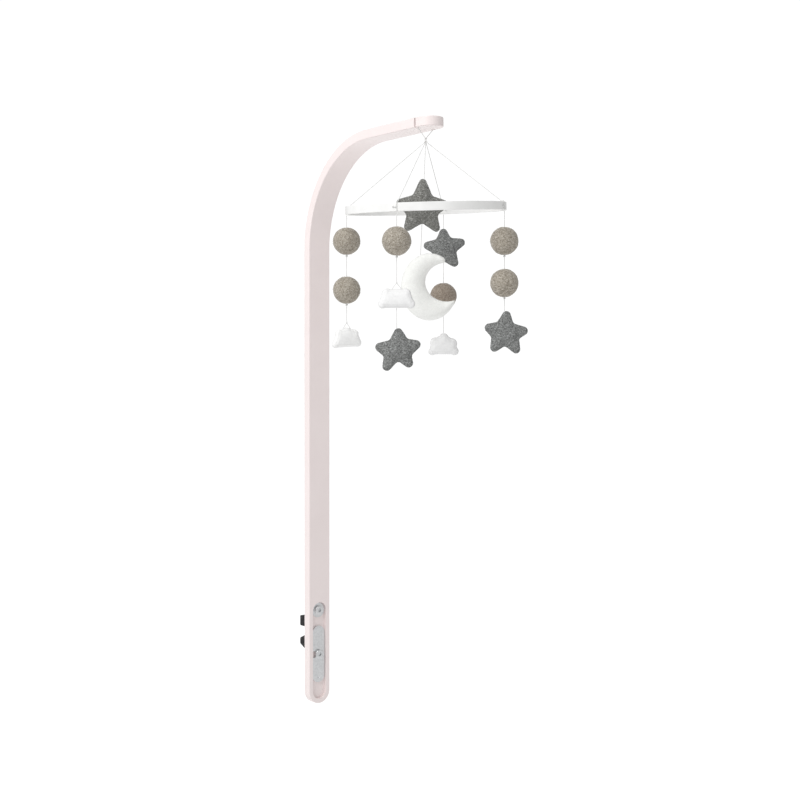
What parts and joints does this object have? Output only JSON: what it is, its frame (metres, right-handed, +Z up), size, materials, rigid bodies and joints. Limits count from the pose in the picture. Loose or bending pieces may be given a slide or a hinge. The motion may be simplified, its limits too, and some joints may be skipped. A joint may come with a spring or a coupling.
{
  "type": "crib mobile",
  "caption": "Bent-wood arm that clamps to a crib rail and hangs a ring of felt balls, stars, clouds and a crescent moon on cords.",
  "frame": {"origin": "middle of the upper rail pad's outer face, where the arm bears on the crib's rail", "axes": "+Z up along the pole; +X over the crib, the way the arm reaches; Y along the crib's rail"},
  "size_m": [0.4568, 0.2684, 0.9672],
  "materials": {
    "pink_paint": "satin pale pink paint on laminated bent wood",
    "white_ring": "satin white paint",
    "zinc": "bright zinc plate",
    "brass_insert": "machined",
    "black_rubber": "matt moulded rubber",
    "cord": "twisted white cotton cord",
    "taupe_felt": "needled wool felt",
    "grey_felt": "marled grey wool felt, sewn edge",
    "white_felt": "white wool felt, sewn edge",
    "cream_felt": "warm white woven wool, sewn edge",
    "stuffing": "loose polyester fibre"
  },
  "bodies": {
    "arm": {"arm": "pink_paint", "upper_insert": "brass_insert", "lower_insert": "brass_insert", "upper_rail_pad": "black_rubber", "lower_rail_pad": "black_rubber", "loop_over_arm": "cord"},
    "upper_washer": {"upper_washer": "zinc"},
    "upper_bolt": {"upper_bolt": "zinc"},
    "clamp_plate": {"clamp_plate": "zinc"},
    "lower_bolt": {"lower_bolt": "zinc"},
    "loop": {"near_loop_leg": "cord", "far_loop_leg": "cord", "loop_knot": "cord"},
    "gathering": {"gathering_knot": "cord"},
    "ring": {"ring": "white_ring", "ring_hitches": "cord", "suspension_p1": "cord", "suspension_p2": "cord", "suspension_p3": "cord", "suspension_p4": "cord"},
    "string_p1": {"cord_p1": "cord", "knots_p1": "cord", "ball_p1_1": "taupe_felt", "ball_p1_2": "taupe_felt"},
    "string_p2": {"cord_p2": "cord", "knots_p2": "cord", "ball_p2_1": "taupe_felt"},
    "string_p3": {"cord_p3": "cord", "knots_p3": "cord", "ball_p3_1": "taupe_felt"},
    "string_p4": {"cord_p4": "cord", "knots_p4": "cord", "ball_p4_1": "taupe_felt", "ball_p4_2": "taupe_felt"},
    "centre_string": {"cord_centre": "cord"},
    "cloud_p1": {"cloud_p1_hanger": "cord", "cloud_p1_cover": "white_felt", "cloud_p1_stuffing": "stuffing"},
    "cloud_p2": {"cloud_p2_hanger": "cord", "cloud_p2_cover": "white_felt", "cloud_p2_stuffing": "stuffing", "cord_p2_lower": "cord"},
    "star_p2": {"star_p2_cover": "grey_felt", "star_p2_stuffing": "stuffing"},
    "star_p3": {"star_p3_cover": "grey_felt", "star_p3_stuffing": "stuffing"},
    "cloud_p3": {"cloud_p3_cover": "white_felt", "cloud_p3_stuffing": "stuffing"},
    "star_p4": {"star_p4_cover": "grey_felt", "star_p4_stuffing": "stuffing"},
    "centre_star": {"centre_star_cover": "grey_felt", "centre_star_stuffing": "stuffing"},
    "moon": {"moon_cover": "cream_felt", "moon_stuffing": "stuffing"}
  },
  "joints": [
    {"name": "upper_bolt_out", "type": "slide", "parent": "arm", "child": "upper_washer", "axis": [1, 0, 0], "range_m": [0, 0.008]},
    {"name": "upper_bolt_turn", "type": "hinge", "parent": "upper_washer", "child": "upper_bolt", "pos_m": [0.0282, 0, 0.0185], "axis": [1, 0, 0], "range_deg": [0, 2305]},
    {"name": "lower_bolt_out", "type": "slide", "parent": "arm", "child": "clamp_plate", "axis": [1, 0, 0], "range_m": [0, 0.008]},
    {"name": "lower_bolt_turn", "type": "hinge", "parent": "clamp_plate", "child": "lower_bolt", "pos_m": [0.0282, 0, -0.057], "axis": [1, 0, 0], "range_deg": [0, 2305]},
    {"name": "loop_swing", "type": "hinge", "parent": "arm", "child": "loop", "pos_m": [0.3237, 0, 0.80888], "axis": [0, 1, 0], "range_deg": [-12, 12]},
    {"name": "ring_sway", "type": "hinge", "parent": "loop", "child": "gathering", "pos_m": [0.3237, 0, 0.791], "axis": [1, 0, 0], "range_deg": [-12, 12]},
    {"name": "ring_spin", "type": "hinge", "parent": "gathering", "child": "ring", "pos_m": [0.3237, 0, 0.7889], "axis": [0, 0, 1], "range_deg": [-180, 180]},
    {"name": "swing_p1", "type": "hinge", "parent": "ring", "child": "string_p1", "pos_m": [0.23083, -0.08453, 0.67651], "axis": [-0.7361, -0.6769, 0], "range_deg": [-12, 12]},
    {"name": "swing_p2", "type": "hinge", "parent": "ring", "child": "string_p2", "pos_m": [0.38982, -0.10597, 0.66949], "axis": [0.5299, -0.848, 0], "range_deg": [-12, 12]},
    {"name": "swing_p3", "type": "hinge", "parent": "ring", "child": "string_p3", "pos_m": [0.2453, 0.09844, 0.68745], "axis": [-0.6239, 0.7815, 0], "range_deg": [-12, 12]},
    {"name": "swing_p4", "type": "hinge", "parent": "ring", "child": "string_p4", "pos_m": [0.42775, 0.07058, 0.67918], "axis": [0.829, 0.5592, 0], "range_deg": [-12, 12]},
    {"name": "swing_centre", "type": "hinge", "parent": "gathering", "child": "centre_string", "pos_m": [0.3237, 0, 0.7889], "axis": [0, 1, 0], "range_deg": [-6, 6]},
    {"name": "turn_cloud_p1", "type": "hinge", "parent": "string_p1", "child": "cloud_p1", "pos_m": [0.23083, -0.08453, 0.5097], "axis": [0, 0, 1], "continuous": true},
    {"name": "turn_cloud_p2", "type": "hinge", "parent": "string_p2", "child": "cloud_p2", "pos_m": [0.38982, -0.10597, 0.5642], "axis": [0, 0, 1], "continuous": true},
    {"name": "turn_star_p2", "type": "hinge", "parent": "cloud_p2", "child": "star_p2", "pos_m": [0.38982, -0.10597, 0.49798], "axis": [0, 0, 1], "continuous": true},
    {"name": "turn_star_p3", "type": "hinge", "parent": "string_p3", "child": "star_p3", "pos_m": [0.2453, 0.09844, 0.6329], "axis": [0, 0, 1], "continuous": true},
    {"name": "turn_cloud_p3", "type": "hinge", "parent": "string_p3", "child": "cloud_p3", "pos_m": [0.2453, 0.09844, 0.49329], "axis": [0, 0, 1], "continuous": true},
    {"name": "turn_star_p4", "type": "hinge", "parent": "string_p4", "child": "star_p4", "pos_m": [0.42775, 0.07058, 0.52467], "axis": [0, 0, 1], "continuous": true},
    {"name": "turn_centre_star", "type": "hinge", "parent": "centre_string", "child": "centre_star", "pos_m": [0.32084, -0.00374, 0.6851], "axis": [0.0276, 0.036, 0.999], "continuous": true},
    {"name": "turn_moon", "type": "hinge", "parent": "centre_string", "child": "moon", "pos_m": [0.31886, -0.00632, 0.61326], "axis": [0, 0, 1], "continuous": true}
  ],
  "couplings": [
    {"joint": "upper_bolt_turn", "follows": "upper_bolt_out", "rad_per_m": 5026.5},
    {"joint": "lower_bolt_turn", "follows": "lower_bolt_out", "rad_per_m": 5026.5}
  ]
}
